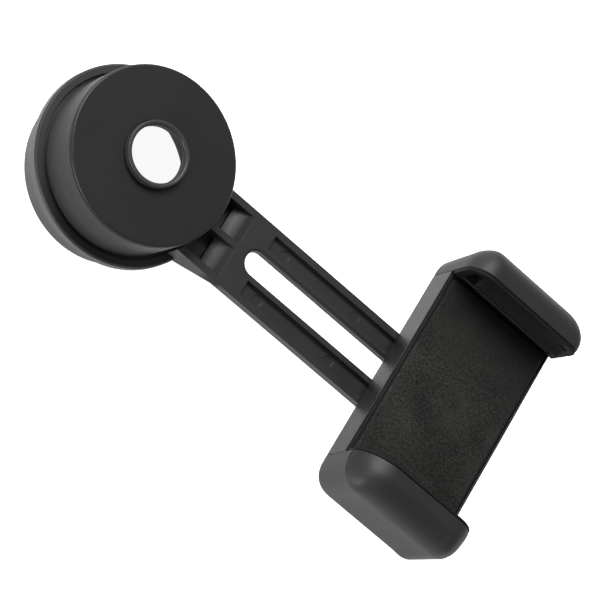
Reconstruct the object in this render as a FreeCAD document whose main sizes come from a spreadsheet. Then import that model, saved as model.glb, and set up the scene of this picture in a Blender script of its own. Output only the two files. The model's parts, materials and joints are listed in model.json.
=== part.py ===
"""Telescope phone adapter: an eyepiece cup on a slotted arm that carries a sprung phone clamp.

Millimetres. +Z runs along the optical axis towards the phone, +X along the arm, +Y towards the
upper jaw. The origin is on the optical axis, in the plane of the rear rim that the part rests on.
"""
import FreeCAD, Part
import math
import os
import Sketcher

from FreeCAD import Placement, Rotation, Vector

# Clearances shared by the whole part
running_gap = 0.08
moving_gap = 0.3
seam_gap = 0.15

# Front cover: the cup with the camera hole
cup_radius = 25.5
cup_base_radius = 25.2
cup_height = 29.4
cup_wall = 2.2
face_wall = 2.0
rim_round = 0.7
rim_line_level = 28.3
rim_line_height = 0.35
rim_line_depth = 0.3
hole_radius = 8.1
hole_bevel = 1.6
lip_width = 1.35
lip_rise = 2.4
lip_round = 0.4
lip_inner_round = 0.8
boss_radius = 2.6
cover_pilot_depth = 7.7
cover_screw_length = 6.6

# Arm ring: flange, web and hub
flange_radius = 28.8
flange_back = 10.5
flange_thickness = 3.5
flange_bevel = 0.5
socket_radius = 26.3
socket_depth = 1.0
web_thickness = 2.0
web_bore = 18.3
collar_height = 3.0
collar_wall = 1.4
hub_length = 3.2
hub_wall = 1.2

# Arm
arm_width = 25.2
arm_top = 19.5
arm_thickness = 2.8
arm_end = 126.5
arm_end_round = 6.0
slot_width = 7.4
slot_start = 45.2
slot_finish = 117.5
slot_round = 0.9
rail_rim = 2.0
rail_recess = 1.4
recess_start = 45.5
recess_finish = 121.0
root_slope_start = 26.5
root_slope_finish = 37.2
root_rib = 2.0
root_rim = 2.2
root_overlap = 6.0
root_ramp_length = 5.6
root_ramp_edge = 0.7
root_ramp_round = 3.0
root_step = 1.7
root_floor_wall = 1.6
pin_mark_radius = 1.6
pin_mark_depth = 0.2
pin_mark_first = 51.3
pin_mark_pitch = 27.6

# Turning ring at the rear
ring_radius = 25.5
ring_wall = 1.6
rear_lip_height = 2.2
rear_lip_width = 2.1
lug_width = 2.7
lug_lift = 0.3
snap_height = 1.0
snap_depth = 0.45
snap_split_angle = 8.0

# Swinging claws
claw_pivot_angle = 26.0
claw_span_angle = 60.0
claw_band = 2.4
claw_boss = 1.8
claw_end_angle = 2.0
claw_bore_roof = 1.5
claw_swing_angle = 26.0
ring_turn_angle = 42.0
pivot_pin_radius = 1.0
peg_radius = 0.9
peg_lead_angle = 7.5
peg_length = 1.9
peg_root = 1.0
claw_pad_thickness = 1.3
claw_pad_start_angle = 12.0
claw_pad_finish_angle = 57.0
claw_pad_margin = 0.6
pad_flute = 0.45

# Phone clamp
clamp_left = 92.4
clamp_width = 39.65
clamp_shift = 1.1
clamp_length = 64.8
housing_height = 10.3
housing_wall = 1.5
housing_back = 1.8
housing_round = 0.8
end_wall = 2.0
plate_thickness = 1.6
plate_drop = 0.3
plate_lip = 0.55
plate_gap = 0.25
post_radius = 2.3
pad_thickness = 1.2
pad_inset = 1.2
pad_margin = 0.95
pad_corner = 0.6

# Jaws: a wall that leans outwards, under a rounded top that is open towards the phone
jaw_depth = 9.3
jaw_height = 24.2
jaw_flare = 0.065
jaw_corner = 8.0
jaw_dome_round = 8.15
jaw_end_round = 3.0
jaw_wall = 1.8
jaw_pocket = 5.5
leg_width = 4.8
leg_thickness = 3.0
leg_offset = 11.4
leg_length = 56.0
ear_place = 34.5
ear_width = 2.5
ear_root = 1.0
tongue_half = 8.0
tongue_length = 6.5

# Rubber grips
grip_lining = 0.9
grip_lining_depth = 5.0
grip_rim = 1.1
grip_rim_inset = 0.2
grip_nose = 3.1
grip_nose_half = 15.2
grip_nose_top = 20.0
grip_nose_edge = 1.2
grip_nose_bottom = 17.3
tooth_pitch = 1.5
tooth_depth = 0.5

# Springs, nut and screws
spring_radius = 1.7
spring_wire = 0.5
spring_lift = 1.2
nut_flats = 11.1
nut_height = 5.4
nut_boss_wall = 1.2
nut_boss_height = 3.8
stud_radius = 3.175
stud_chamfer = 0.6
stud_stand = 0.6
stud_bottom = 3.0
screw_radius = 1.1
screw_head_radius = 2.1
screw_head_height = 1.2
plate_screw_length = 5.5
plate_screw_x = 5.0
plate_screw_y = 23.0

# Thumb screw
knob_radius = 11.5
knob_grip = 11.0
knob_neck = 6.6
knob_flute = 1.8
knob_chamfer = 1.0
washer_radius = 9.0
washer_thickness = 0.8

# Numbers of repeated features
CLAWS = 3
PAD_FLUTES = 7
SPRING_TURNS = 12
KNOB_FLUTES = 12
MARKS = 3
SIDES = (-1, 1)

# How far a cut runs past the surface that it starts from, and how close two places are the same
PAST = 1.0
NEAR = 0.01

doc = FreeCAD.newDocument("telescope_phone_adapter")
sheet = doc.addObject("Spreadsheet::Sheet", "sizes")


class Size:
    """A length that knows its value and the sheet formula that it comes from."""

    def __init__(self, value, formula):
        self.value = float(value)
        self.formula = formula

    def __float__(self):
        return self.value

    def __neg__(self):
        return Size(-self.value, "(-" + self.formula + ")")

    def __add__(self, other):
        other = as_size(other)
        return Size(self.value + other.value, "(" + self.formula + " + " + other.formula + ")")

    def __sub__(self, other):
        other = as_size(other)
        return Size(self.value - other.value, "(" + self.formula + " - " + other.formula + ")")

    def __mul__(self, other):
        other = as_size(other)
        return Size(self.value * other.value, "(" + self.formula + " * " + other.formula + ")")

    def __truediv__(self, other):
        other = as_size(other)
        return Size(self.value / other.value, "(" + self.formula + " / " + other.formula + ")")

    def __radd__(self, other):
        return as_size(other) + self

    def __rsub__(self, other):
        return as_size(other) - self

    def __rmul__(self, other):
        return as_size(other) * self


def as_size(item):
    return item if isinstance(item, Size) else Size(item, "(" + repr(round(float(item), 6)) + ")")


def driving(alias, value):
    """Write one driving dimension into the sheet and return it as a Size."""
    row = str(driving.next_row)
    driving.next_row += 1
    sheet.set("A" + row, alias)
    sheet.set("B" + row, str(value))
    sheet.setAlias("B" + row, alias)
    return Size(value, "sizes." + alias)


driving.next_row = 1

# Each dimension above gets a cell in the sheet, and its name then stands for that cell
for alias, value in list(globals().items()):
    if isinstance(value, float) and alias.islower():
        globals()[alias] = driving(alias, value)

# Levels and places that follow from the driving dimensions
flange_front = flange_back + flange_thickness
socket_floor = flange_front - socket_depth
web_front = flange_back + web_thickness
lip_top = cup_height + lip_rise
arm_bottom = arm_top - arm_thickness
ring_inner = ring_radius - ring_wall
ring_front = flange_back - moving_gap
hub_radius = ring_inner - running_gap
hub_inner = hub_radius - hub_wall
hub_back = flange_back - hub_length
clamp_middle = clamp_left + clamp_width / 2
housing_front = arm_top + housing_height
snap_middle = hub_back + hub_length / 2


def number(item):
    return float(item)


def bind(thing, place, item):
    """Bind a property to the sheet where the value has a formula, and set it where it has none."""
    if isinstance(item, Size):
        thing.setExpression(place, item.formula)
    else:
        setattr(thing, place, item)


def new_body(label):
    body = doc.addObject("PartDesign::Body", label)
    body.Label = label
    return body


def origin_item(body, role):
    for item in body.Origin.OriginFeatures:
        if item.Role == role:
            return item
    raise RuntimeError("no origin item " + role)


def new_sketch(body, name, role, offset=0.0):
    """An empty sketch on one of the body's own planes, lifted off it by an offset."""
    sketch = body.newObject("Sketcher::SketchObject", name)
    sketch.AttachmentSupport = [(origin_item(body, role), "")]
    sketch.MapMode = "FlatFace"
    sketch.AttachmentOffset = Placement(Vector(0, 0, number(offset)), Rotation())
    if isinstance(offset, Size):
        sketch.setExpression(".AttachmentOffset.Base.z", offset.formula)
    return sketch


def hold_point(sketch, geometry, point, x, y):
    """Hold one point of a sketch at its two coordinates."""
    for kind, value in (("DistanceX", x), ("DistanceY", y)):
        index = sketch.addConstraint(Sketcher.Constraint(kind, -1, 1, geometry, point, number(value)))
        if isinstance(value, Size):
            sketch.setExpression("Constraints[" + str(index) + "]", value.formula)


def hold_radius(sketch, geometry, radius):
    index = sketch.addConstraint(Sketcher.Constraint("Radius", geometry, number(radius)))
    if isinstance(radius, Size):
        sketch.setExpression("Constraints[" + str(index) + "]", radius.formula)


def polygon(body, name, role, points, offset=0.0):
    """A closed outline of straight lines with every corner held by the sheet."""
    sketch = new_sketch(body, name, role, offset)
    corners = [Vector(number(x), number(y), 0) for x, y in points]
    count = len(corners)
    for index in range(count):
        sketch.addGeometry(Part.LineSegment(corners[index], corners[(index + 1) % count]))
    for index in range(count):
        following = (index + 1) % count
        sketch.addConstraint(Sketcher.Constraint("Coincident", index, 2, following, 1))
        hold_point(sketch, index, 1, *points[index])
    return sketch


def rectangle(body, name, role, low, high, offset=0.0):
    points = [(low[0], low[1]), (high[0], low[1]), (high[0], high[1]), (low[0], high[1])]
    return polygon(body, name, role, points, offset)


def circles(body, name, centres, radius, offset=0.0):
    """Equal circles on a plane across the Z axis."""
    sketch = new_sketch(body, name, "XY_Plane", offset)
    for index, (x, y) in enumerate(centres):
        middle = Vector(number(x), number(y), 0)
        sketch.addGeometry(Part.Circle(middle, Vector(0, 0, 1), number(radius)))
        hold_point(sketch, index, 3, x, y)
        hold_radius(sketch, index, radius)
    return sketch


def long_slot(body, name, start, finish, half_width, offset=0.0):
    """A slot along X with round ends."""
    sketch = new_sketch(body, name, "XY_Plane", offset)
    up = Vector(0, 0, 1)
    r = number(half_width)
    left = Vector(number(start), 0, 0)
    right = Vector(number(finish), 0, 0)
    edge = Vector(0, r, 0)
    sketch.addGeometry(Part.ArcOfCircle(Part.Circle(left, up, r), math.pi / 2, 3 * math.pi / 2))
    sketch.addGeometry(Part.ArcOfCircle(Part.Circle(right, up, r), -math.pi / 2, math.pi / 2))
    sketch.addGeometry(Part.LineSegment(left + edge, right + edge))
    sketch.addGeometry(Part.LineSegment(left - edge, right - edge))
    for arc, arc_end, line, line_end in ((0, 1, 2, 1), (0, 2, 3, 1), (1, 1, 3, 2), (1, 2, 2, 2)):
        sketch.addConstraint(Sketcher.Constraint("Tangent", arc, arc_end, line, line_end))
    sketch.addConstraint(Sketcher.Constraint("Equal", 0, 1))
    hold_point(sketch, 0, 3, start, 0.0)
    hold_point(sketch, 1, 3, finish, 0.0)
    hold_radius(sketch, 0, half_width)
    return sketch


def sector(body, name, inner, outer, start, finish, offset=0.0):
    """A part of a ring about the Z axis between two angles in degrees."""
    sketch = new_sketch(body, name, "XY_Plane", offset)
    up = Vector(0, 0, 1)
    first = math.radians(number(start))
    last = math.radians(number(finish))
    middle = Vector(0, 0, 0)

    def at(radius, angle):
        return Vector(number(radius) * math.cos(angle), number(radius) * math.sin(angle), 0)

    sketch.addGeometry(Part.ArcOfCircle(Part.Circle(middle, up, number(outer)), first, last))
    sketch.addGeometry(Part.LineSegment(at(outer, last), at(inner, last)))
    sketch.addGeometry(Part.ArcOfCircle(Part.Circle(middle, up, number(inner)), first, last))
    sketch.addGeometry(Part.LineSegment(at(inner, first), at(outer, first)))
    for one, end, other, start_end in ((0, 2, 1, 1), (1, 2, 2, 2), (2, 1, 3, 1), (3, 2, 0, 1)):
        sketch.addConstraint(Sketcher.Constraint("Coincident", one, end, other, start_end))
    for arc, radius in ((0, outer), (2, inner)):
        sketch.addConstraint(Sketcher.Constraint("Coincident", arc, 3, -1, 1))
        hold_radius(sketch, arc, radius)
    for line in (1, 3):
        sketch.addConstraint(Sketcher.Constraint("Block", line))
    return sketch


def pad(body, name, sketch, length, midplane=False, reverse=False):
    feature = body.newObject("PartDesign::Pad", name)
    feature.Profile = sketch
    feature.Midplane = midplane
    feature.Reversed = reverse
    bind(feature, "Length", length)
    body.Tip = feature
    return feature


def pocket(body, name, sketch, length=None, midplane=False, reverse=False):
    """Cut a sketch away, against its normal, or right through where no length is given."""
    feature = body.newObject("PartDesign::Pocket", name)
    feature.Profile = sketch
    feature.Reversed = reverse
    if length is None:
        feature.Type = "ThroughAll"
        feature.Midplane = True
    else:
        feature.Midplane = midplane
        bind(feature, "Length", length)
    body.Tip = feature
    return feature


def revolve(body, name, points):
    """Turn a profile of (radius, height) points round the Z axis."""
    sketch = polygon(body, name + "_profile", "XZ_Plane", points)
    feature = body.newObject("PartDesign::Revolution", name)
    feature.Profile = sketch
    feature.ReferenceAxis = (sketch, ["V_Axis"])
    feature.Angle = 360.0
    body.Tip = feature
    return feature


def round_pattern(body, name, feature, count):
    pattern = body.newObject("PartDesign::PolarPattern", name)
    pattern.Originals = [feature]
    pattern.Axis = (origin_item(body, "Z_Axis"), [""])
    pattern.Angle = 360.0
    pattern.Occurrences = count
    body.Tip = pattern
    return pattern


def mirror(body, name, feature, role):
    pattern = body.newObject("PartDesign::Mirrored", name)
    pattern.Originals = [feature]
    pattern.MirrorPlane = (origin_item(body, role), [""])
    body.Tip = pattern
    return pattern


def ease(body, name, kind, size, wanted):
    """Round or bevel those edges of the body that the test picks out."""
    doc.recompute()
    base = body.Tip
    names = ["Edge" + str(index + 1) for index, edge in enumerate(base.Shape.Edges) if wanted(edge)]
    if not names:
        raise RuntimeError("no edges for " + name)
    feature = body.newObject("PartDesign::" + kind, name)
    feature.Base = (base, names)
    bind(feature, "Radius" if kind == "Fillet" else "Size", size)
    body.Tip = feature
    return feature


def round_edge_at(radius, height):
    """A test for full circles about the Z axis at one radius and height."""
    def wanted(edge):
        if not isinstance(edge.Curve, Part.Circle):
            return False
        centre = edge.Curve.Center
        same_radius = abs(edge.Curve.Radius - number(radius)) < NEAR
        return same_radius and abs(centre.z - number(height)) < NEAR
    return wanted


def straight_edge(direction, test):
    """A test for straight edges along one axis whose middle passes a second test."""
    def wanted(edge):
        if not isinstance(edge.Curve, Part.Line):
            return False
        if abs(edge.tangentAt(edge.FirstParameter).dot(direction)) < 0.999:
            return False
        return test(edge.CenterOfMass)
    return wanted


def place(thing, x=0.0, y=0.0, z=0.0, turn=0.0):
    """Put a piece at its place, with its position bound to the sheet."""
    base = Vector(number(x), number(y), number(z))
    thing.Placement = Placement(base, Rotation(Vector(0, 0, 1), turn))
    for axis, value in (("x", x), ("y", y), ("z", z)):
        if isinstance(value, Size):
            thing.setExpression(".Placement.Base." + axis, value.formula)
    return thing


def polar(radius, angle):
    """A point at a radius and an angle in degrees, still bound to the sheet."""
    return radius * math.cos(math.radians(angle)), radius * math.sin(math.radians(angle))


def shape_piece(label, shape):
    piece = doc.addObject("Part::Feature", label)
    piece.Label = label
    piece.Shape = shape
    return piece


# Where the pivots, pegs and cam slots of the three claws lie
claw_outer = hub_inner - moving_gap
claw_pivot_radius = claw_outer - claw_boss
claw_inner = claw_outer - claw_band
claw_back = rear_lip_height + moving_gap * 2
claw_front = flange_back - moving_gap
peg_place = claw_outer - peg_radius - seam_gap
swing_ratio = number(claw_swing_angle) / number(ring_turn_angle)


def turned(point, angle):
    return Rotation(Vector(0, 0, 1), angle).multVec(point)


def peg_position(ring_angle):
    """The centre of the first claw's peg after the ring has turned by an angle."""
    pivot_angle = number(claw_pivot_angle)
    pivot = Vector(*map(number, polar(claw_pivot_radius, pivot_angle)), 0)
    peg = Vector(*map(number, polar(peg_place, pivot_angle - number(peg_lead_angle))), 0)
    swung = pivot + turned(peg - pivot, -swing_ratio * ring_angle)
    return turned(swung, ring_angle)


def cam_slot(body, name, offset):
    """The curved slot that the first claw's peg runs in, as an arc through three of its places."""
    sketch = new_sketch(body, name, "XY_Plane", offset)
    start = peg_position(0.0)
    middle = peg_position(number(ring_turn_angle) / 2)
    finish = peg_position(number(ring_turn_angle))
    path = Part.Arc(start, middle, finish).toShape().Curve
    half = number(peg_radius) + number(running_gap)
    up = Vector(0, 0, 1)
    centre = path.Center
    first = math.atan2(start.y - centre.y, start.x - centre.x)
    last = math.atan2(finish.y - centre.y, finish.x - centre.x)
    for radius in (path.Radius + half, path.Radius - half):
        sketch.addGeometry(Part.ArcOfCircle(Part.Circle(centre, up, radius), first, last))
    sketch.addGeometry(Part.ArcOfCircle(Part.Circle(start, up, half), first - math.pi, first))
    sketch.addGeometry(Part.ArcOfCircle(Part.Circle(finish, up, half), last, last + math.pi))
    for arc in range(4):
        sketch.addConstraint(Sketcher.Constraint("Block", arc))
    return sketch


# Angles of the screws that hold the cover, midway between the cam slots
screw_angle = number(claw_pivot_angle - peg_lead_angle + ring_turn_angle / 2) + 180.0 / CLAWS
cover_screw_place = cup_base_radius - cup_wall - boss_radius + seam_gap


def build_front_cover():
    """The cup: a tapered wall with a line under its rim, and a raised lip round the camera hole."""
    body = new_body("front_cover")
    face_back = cup_height - face_wall
    lip_outer = hole_radius + lip_width
    groove = seam_gap * 2
    revolve(body, "cup", [
        (cup_base_radius, socket_floor),
        (cup_radius, rim_line_level),
        (cup_radius - rim_line_depth, rim_line_level),
        (cup_radius - rim_line_depth, rim_line_level + rim_line_height),
        (cup_radius, rim_line_level + rim_line_height),
        (cup_radius, cup_height),
        (lip_outer + groove, cup_height),
        (lip_outer + groove, cup_height - groove),
        (lip_outer, cup_height - groove),
        (lip_outer, lip_top),
        (hole_radius, lip_top),
        (hole_radius, face_back + hole_bevel),
        (hole_radius + hole_bevel, face_back),
        (cup_radius - cup_wall, face_back),
        (cup_base_radius - cup_wall, socket_floor),
    ])
    centre = polar(cover_screw_place, screw_angle)
    boss = pad(body, "boss", circles(body, "boss_outline", [centre], boss_radius, web_front),
               face_back + face_wall / 2 - web_front)
    round_pattern(body, "bosses", boss, CLAWS)
    pilot = pocket(body, "pilot",
                   circles(body, "pilot_outline", [centre], screw_radius, web_front),
                   cover_pilot_depth, reverse=True)
    round_pattern(body, "pilots", pilot, CLAWS)
    ease(body, "rim_edge", "Fillet", rim_round, round_edge_at(cup_radius, cup_height))
    ease(body, "lip_outer_edge", "Fillet", lip_round, round_edge_at(lip_outer, lip_top))
    ease(body, "lip_inner_edge", "Fillet", lip_inner_round, round_edge_at(hole_radius, lip_top))
    return body


def build_arm_ring():
    """The fixed moulding: flange, web with cam slots, hub and the slotted and ribbed arm."""
    body = new_body("arm_ring")
    half = arm_width / 2
    root_bottom = web_front - flange_bevel
    root_start = root_slope_start - root_overlap
    pit_end = root_slope_finish - root_ramp_length
    pit_floor = flange_front - root_floor_wall
    pad(body, "arm", polygon(body, "arm_side", "XZ_Plane", [
        (root_start, root_bottom),
        (root_slope_start, root_bottom),
        (root_slope_finish, arm_bottom),
        (arm_end, arm_bottom),
        (arm_end, arm_top),
        (root_start, arm_top),
    ]), arm_width, midplane=True)
    pad(body, "root_block", polygon(body, "root_block_side", "XZ_Plane", [
        (root_start, pit_floor),
        (pit_end, pit_floor),
        (root_slope_finish, arm_bottom),
        (root_slope_finish, arm_top),
        (root_start, arm_top),
    ]), arm_width - root_rim, midplane=True)
    ease(body, "arm_corners", "Fillet", arm_end_round,
         straight_edge(Vector(0, 0, 1), lambda p: abs(p.x - number(arm_end)) < NEAR))
    pocket(body, "cup_seat", circles(body, "cup_seat_outline", [(0.0, 0.0)], socket_radius, arm_top),
           arm_top - socket_floor)
    ramp_low = flange_front + root_step
    ramp_end = root_slope_finish - root_ramp_edge
    pit_side = polygon(body, "root_pocket_side", "XZ_Plane", [
        (root_start - PAST, flange_front),
        (pit_end, flange_front),
        (pit_end, ramp_low),
        (ramp_end, arm_top),
        (ramp_end, arm_top + PAST),
        (root_start - PAST, arm_top + PAST),
    ], -(half - root_rim))
    pit = pocket(body, "root_pocket", pit_side, half - root_rim - root_rib / 2, reverse=True)
    mirror(body, "root_pockets", pit, "XZ_Plane")
    ease(body, "ramp_rounds", "Fillet", root_ramp_round,
         straight_edge(Vector(0, 1, 0), lambda p: abs(p.x - number(ramp_end)) < NEAR
                       and abs(p.z - number(arm_top)) < NEAR))
    pocket(body, "slot", long_slot(body, "slot_outline", slot_start, slot_finish, slot_width / 2,
                                   arm_top))
    slot_side = number(slot_width) / 2 + NEAR
    ease(body, "slot_edge", "Fillet", slot_round,
         lambda edge: edge.BoundBox.ZMin > number(arm_top) - NEAR and edge.BoundBox.YMax < slot_side
         and edge.BoundBox.YMin > -slot_side and edge.BoundBox.XMin > number(root_slope_finish))
    rail_low = slot_width / 2 + rail_rim
    rail_high = half - root_rim
    recess = pocket(body, "rail_recess",
                    rectangle(body, "rail_outline", "XY_Plane", (recess_start, rail_low),
                              (recess_finish, rail_high), arm_top), rail_recess)
    mirror(body, "rail_recesses", recess, "XZ_Plane")
    rail_middle = (rail_low + rail_high) / 2
    marks = [(pin_mark_first + pin_mark_pitch * step, rail_middle * side)
             for step in range(MARKS) for side in SIDES]
    pocket(body, "pin_marks",
           circles(body, "pin_mark_outlines", marks, pin_mark_radius, arm_top - rail_recess),
           pin_mark_depth)
    snap_low = snap_middle - snap_height / 2
    snap_high = snap_middle + snap_height / 2
    collar_outer = cup_base_radius - cup_wall - seam_gap
    collar_top = socket_floor + collar_height
    revolve(body, "ring", [
        (web_bore, flange_back),
        (hub_inner, flange_back),
        (hub_inner, hub_back),
        (hub_radius, hub_back),
        (hub_radius, snap_low),
        (hub_radius - snap_depth, snap_low),
        (hub_radius - snap_depth, snap_high),
        (hub_radius, snap_high),
        (hub_radius, flange_back),
        (flange_radius - flange_bevel, flange_back),
        (flange_radius, flange_back + flange_bevel),
        (flange_radius, flange_front - flange_bevel),
        (flange_radius - flange_bevel, flange_front),
        (socket_radius, flange_front),
        (socket_radius, socket_floor),
        (collar_outer, socket_floor),
        (collar_outer, collar_top),
        (collar_outer - collar_wall, collar_top),
        (collar_outer - collar_wall, web_front),
        (web_bore, web_front),
    ])
    centre = polar(cover_screw_place, screw_angle)
    notch = pocket(body, "boss_notch",
                   circles(body, "boss_notch_outline", [centre], boss_radius + seam_gap, collar_top),
                   collar_top - web_front)
    round_pattern(body, "boss_notches", notch, CLAWS)
    hole = pocket(body, "screw_hole",
                  circles(body, "screw_hole_outline", [centre], screw_radius + seam_gap, flange_back),
                  web_thickness, reverse=True)
    round_pattern(body, "screw_holes", hole, CLAWS)
    seat = pocket(body, "screw_seat",
                  circles(body, "screw_seat_outline", [centre], screw_head_radius + seam_gap,
                          flange_back),
                  screw_head_height, reverse=True)
    round_pattern(body, "screw_seats", seat, CLAWS)
    cam = pocket(body, "cam_slot", cam_slot(body, "cam_slot_outline", flange_back),
                 web_thickness, reverse=True)
    round_pattern(body, "cam_slots", cam, CLAWS)
    return body


def build_clamp_ring():
    """The turning ring: a plain wall, a groove for the snap ring and three pivot lugs."""
    body = new_body("clamp_ring")
    gap = running_gap
    snap_low = snap_middle - snap_height / 2 - gap
    snap_high = snap_middle + snap_height / 2 + gap
    chamfer = rear_lip_width / 4
    revolve(body, "wall", [
        (ring_inner + chamfer, 0.0),
        (ring_radius - flange_bevel, 0.0),
        (ring_radius, flange_bevel),
        (ring_radius, ring_front),
        (ring_inner, ring_front),
        (ring_inner, snap_high),
        (ring_inner + snap_depth, snap_high),
        (ring_inner + snap_depth, snap_low),
        (ring_inner, snap_low),
        (ring_inner, chamfer * 2),
    ])
    pivot = polar(claw_pivot_radius, number(claw_pivot_angle))
    spread = math.degrees(number(lug_width / ring_radius))
    lug_base = sector(body, "lug_base_outline", claw_pivot_radius, ring_inner + ring_wall / 2,
                      number(claw_pivot_angle) - spread, number(claw_pivot_angle) + spread, lug_lift)
    base = pad(body, "lug_base", lug_base, rear_lip_height - lug_lift)
    round_pattern(body, "lug_bases", base, CLAWS)
    tip = pad(body, "lug_tip", circles(body, "lug_tip_outline", [pivot], claw_boss, lug_lift),
              rear_lip_height - lug_lift)
    round_pattern(body, "lug_tips", tip, CLAWS)
    bore = pocket(body, "lug_bore", circles(body, "lug_bore_outline", [pivot], pivot_pin_radius, lug_lift),
                  rear_lip_height, reverse=True)
    round_pattern(body, "lug_bores", bore, CLAWS)
    return body


def build_retaining_ring():
    """A split snap ring that sits in the hub's groove and runs in the turning ring's groove."""
    body = new_body("retaining_ring")
    outline = sector(body, "snap_outline", hub_radius - snap_depth,
                     ring_inner + snap_depth - running_gap,
                     screw_angle + number(snap_split_angle),
                     screw_angle + 360.0 - number(snap_split_angle),
                     snap_middle - snap_height / 2)
    pad(body, "snap", outline, snap_height)
    return body


def build_claw(number_in_row):
    """A swinging claw: a curved band with its pivot boss, round tip and drive peg."""
    body = new_body("claw_" + str(number_in_row + 1))
    start = -number(claw_span_angle)
    height = claw_front - claw_back
    pivot = (claw_pivot_radius, 0.0)
    tip = Vector(*map(number, polar(claw_outer, start)), 0)
    pad(body, "band", sector(body, "band_outline", claw_inner, claw_outer, start,
                             -number(claw_end_angle), claw_back), height)
    ease(body, "tip_round", "Fillet", claw_band * 0.45,
         straight_edge(Vector(0, 0, 1),
                       lambda p: (Vector(p.x, p.y, 0) - tip).Length < number(claw_band) * 1.1))
    pad(body, "boss", circles(body, "boss_outline", [pivot], claw_boss, claw_back), height)
    peg = polar(peg_place, -number(peg_lead_angle))
    pad(body, "peg", circles(body, "peg_outline", [peg], peg_radius, claw_front - peg_root),
        peg_length + peg_root)
    pocket(body, "pivot_bore",
           circles(body, "pivot_bore_outline", [pivot], pivot_pin_radius + running_gap, claw_back),
           height - claw_bore_roof, reverse=True)
    return place(body, turn=number(claw_pivot_angle) + number_in_row * 360.0 / CLAWS)


def build_claw_pad(number_in_row):
    """The rubber lining of one claw, fluted where it grips the eyepiece."""
    body = new_body("claw_pad_" + str(number_in_row + 1))
    start = -number(claw_pad_finish_angle)
    finish = -number(claw_pad_start_angle)
    height = claw_front - claw_back - claw_pad_margin * 2
    inner = claw_inner - claw_pad_thickness
    pad(body, "lining", sector(body, "lining_outline", inner, claw_inner, start, finish,
                               claw_back + claw_pad_margin), height)
    step = (finish - start) / (PAD_FLUTES + 1)
    centres = [polar(inner, start + step * (index + 1)) for index in range(PAD_FLUTES)]
    pocket(body, "flutes", circles(body, "flute_outlines", centres, pad_flute, claw_back))
    return place(body, turn=number(claw_pivot_angle) + number_in_row * 360.0 / CLAWS)


def cylinders(label, centres, steps):
    """A group of equal turned solids, each a stack of (radius, low, high) steps."""
    solids = []
    for x, y in centres:
        stack = None
        for radius, low, high in steps:
            step = Part.makeCylinder(number(radius), number(high) - number(low),
                                     Vector(number(x), number(y), number(low)))
            stack = step if stack is None else stack.fuse(step)
        solids.append(stack.removeSplitter())
    return shape_piece(label, Part.makeCompound(solids))


def build_pivot_pins():
    centres = [polar(claw_pivot_radius, number(claw_pivot_angle) + index * 360.0 / CLAWS)
               for index in range(CLAWS)]
    return cylinders("claw_pivot_pins", centres, [
        (pivot_pin_radius, lug_lift, claw_front - claw_bore_roof - moving_gap),
    ])


def build_cover_screws():
    centres = [polar(cover_screw_place, screw_angle + index * 360.0 / CLAWS) for index in range(CLAWS)]
    shank_top = web_front + cover_screw_length
    return cylinders("cover_screws", centres, [
        (screw_head_radius, flange_back, flange_back + screw_head_height),
        (screw_radius, flange_back, shank_top),
    ])


# Local frame of the phone clamp: middle of the clamp, with its height counted from the arm's deck
clamp_half = clamp_width / 2
clamp_reach = clamp_length / 2
inside_half = clamp_half - housing_wall
plate_front_local = housing_height - plate_drop
plate_back_local = plate_front_local - plate_thickness
leg_low = housing_back + moving_gap
leg_high = leg_low + leg_thickness
leg_inner = leg_offset - leg_width / 2
leg_outer = leg_offset + leg_width / 2
spring_place = (leg_outer + inside_half) / 2
spring_level = housing_back + spring_radius + spring_lift
ear_inner_face = clamp_reach - ear_place
recess_floor = housing_height + pad_thickness
jaw_screw_place = tongue_length / 2 + end_wall / 2
stud_local_y = -clamp_shift
plate_seat_half = clamp_half - plate_lip
plate_half = plate_seat_half - plate_gap
plate_posts = [(plate_screw_x * side, plate_screw_y * end) for side in SIDES for end in SIDES]
jaw_screw_spots = [(plate_screw_x * side, -(clamp_reach - jaw_screw_place)) for side in SIDES]
nut_round = nut_flats / math.sqrt(3.0)


def at_clamp(thing):
    return place(thing, clamp_middle, clamp_shift, arm_top)


def hexagon(corner_radius, middle_y=0.0):
    """The six corners of a hexagon that points along X."""
    corners = []
    for step in range(6):
        x, y = polar(corner_radius, 60.0 * step)
        corners.append((x, middle_y + y))
    return corners


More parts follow.
